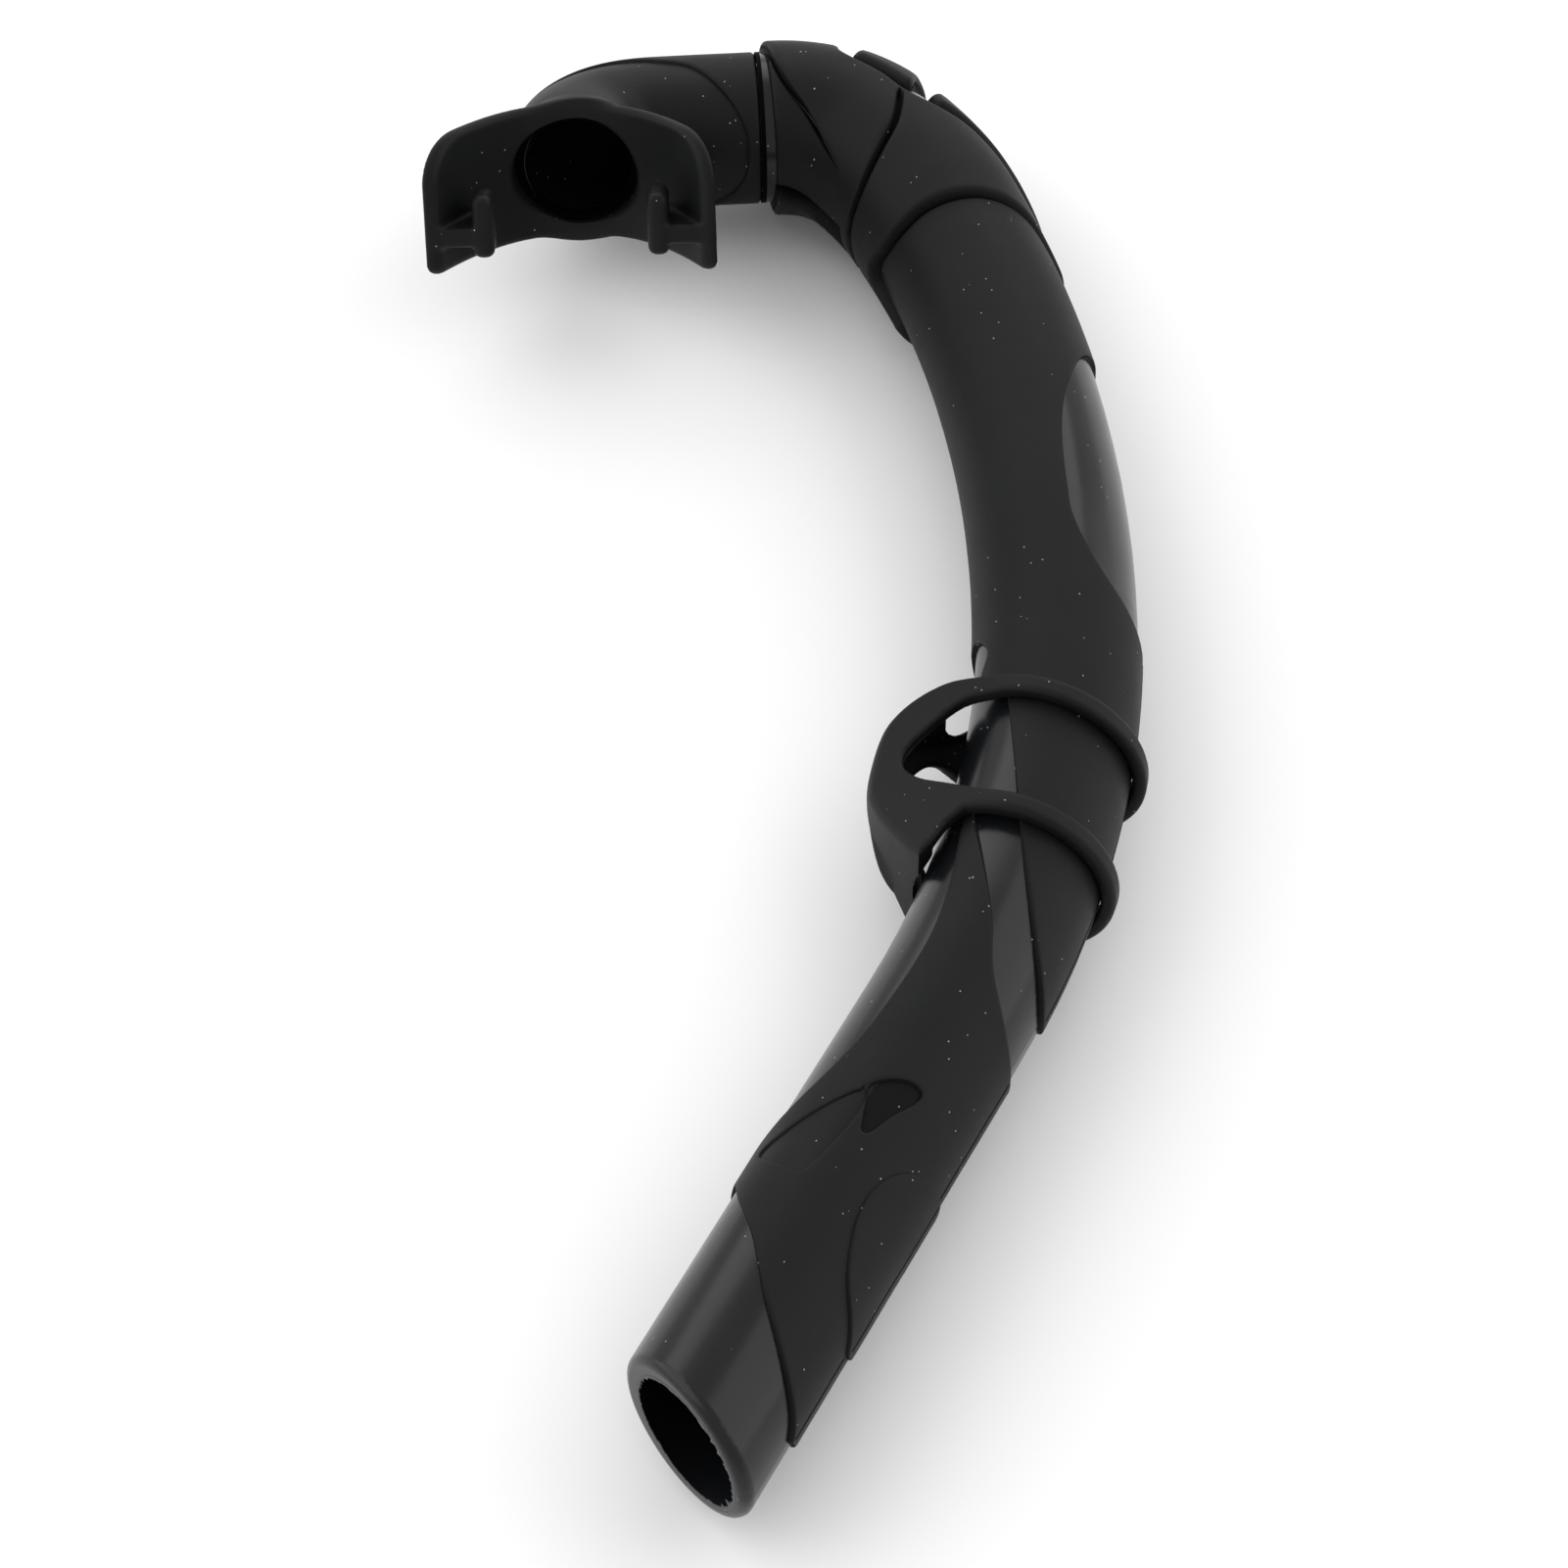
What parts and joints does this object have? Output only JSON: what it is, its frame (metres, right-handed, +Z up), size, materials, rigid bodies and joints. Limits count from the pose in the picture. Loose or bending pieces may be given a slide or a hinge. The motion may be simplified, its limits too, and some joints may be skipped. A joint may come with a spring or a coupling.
{
  "type": "snorkel tube",
  "caption": "Curved hollow snorkel barrel with swooping soft skins, a slanted open top, a swivelling bite mouthpiece and a sliding soft keeper for a mask strap.",
  "frame": {"origin": "centre of the footprint of the part lying on its side, at the level of the surface it lies on", "axes": "+Z up from that surface, square to the level plane of the barrel's centreline; +Y along the length from the open top to the mouthpiece end; +X to the outside of the barrel's curve, the open side of the curve facing -X"},
  "size_m": [0.1214, 0.3032, 0.041],
  "materials": {
    "gloss_barrel": "glossy black",
    "soft_skin": "matte black soft touch",
    "elbow_plastic": "matte black",
    "mouth_silicone": "matte black silicone",
    "keeper_silicone": "matte black silicone"
  },
  "bodies": {
    "tube": {"barrel": "gloss_barrel", "neck_skin": "soft_skin", "bend_sleeve": "soft_skin", "outer_pad_small": "soft_skin", "outer_pad_long": "soft_skin", "barrel_skin": "soft_skin", "upper_skin": "soft_skin", "teardrop_panel": "soft_skin"},
    "mouth": {"swivel_elbow": "elbow_plastic", "elbow_cover": "soft_skin", "mouthpiece": "mouth_silicone"},
    "strap_keeper": {"keeper": "keeper_silicone"}
  },
  "joints": [
    {"name": "mouth_swivel", "type": "hinge", "parent": "tube", "child": "mouth", "pos_m": [-0.00241, 0.13579, 0.01665], "axis": [0.9976, 0.0698, 0], "continuous": true},
    {"name": "keeper_travel", "type": "hinge", "parent": "tube", "child": "strap_keeper", "pos_m": [-0.14283, 0.01989, 0.01665], "axis": [0, 0, 1], "range_deg": [-8, 6]}
  ]
}
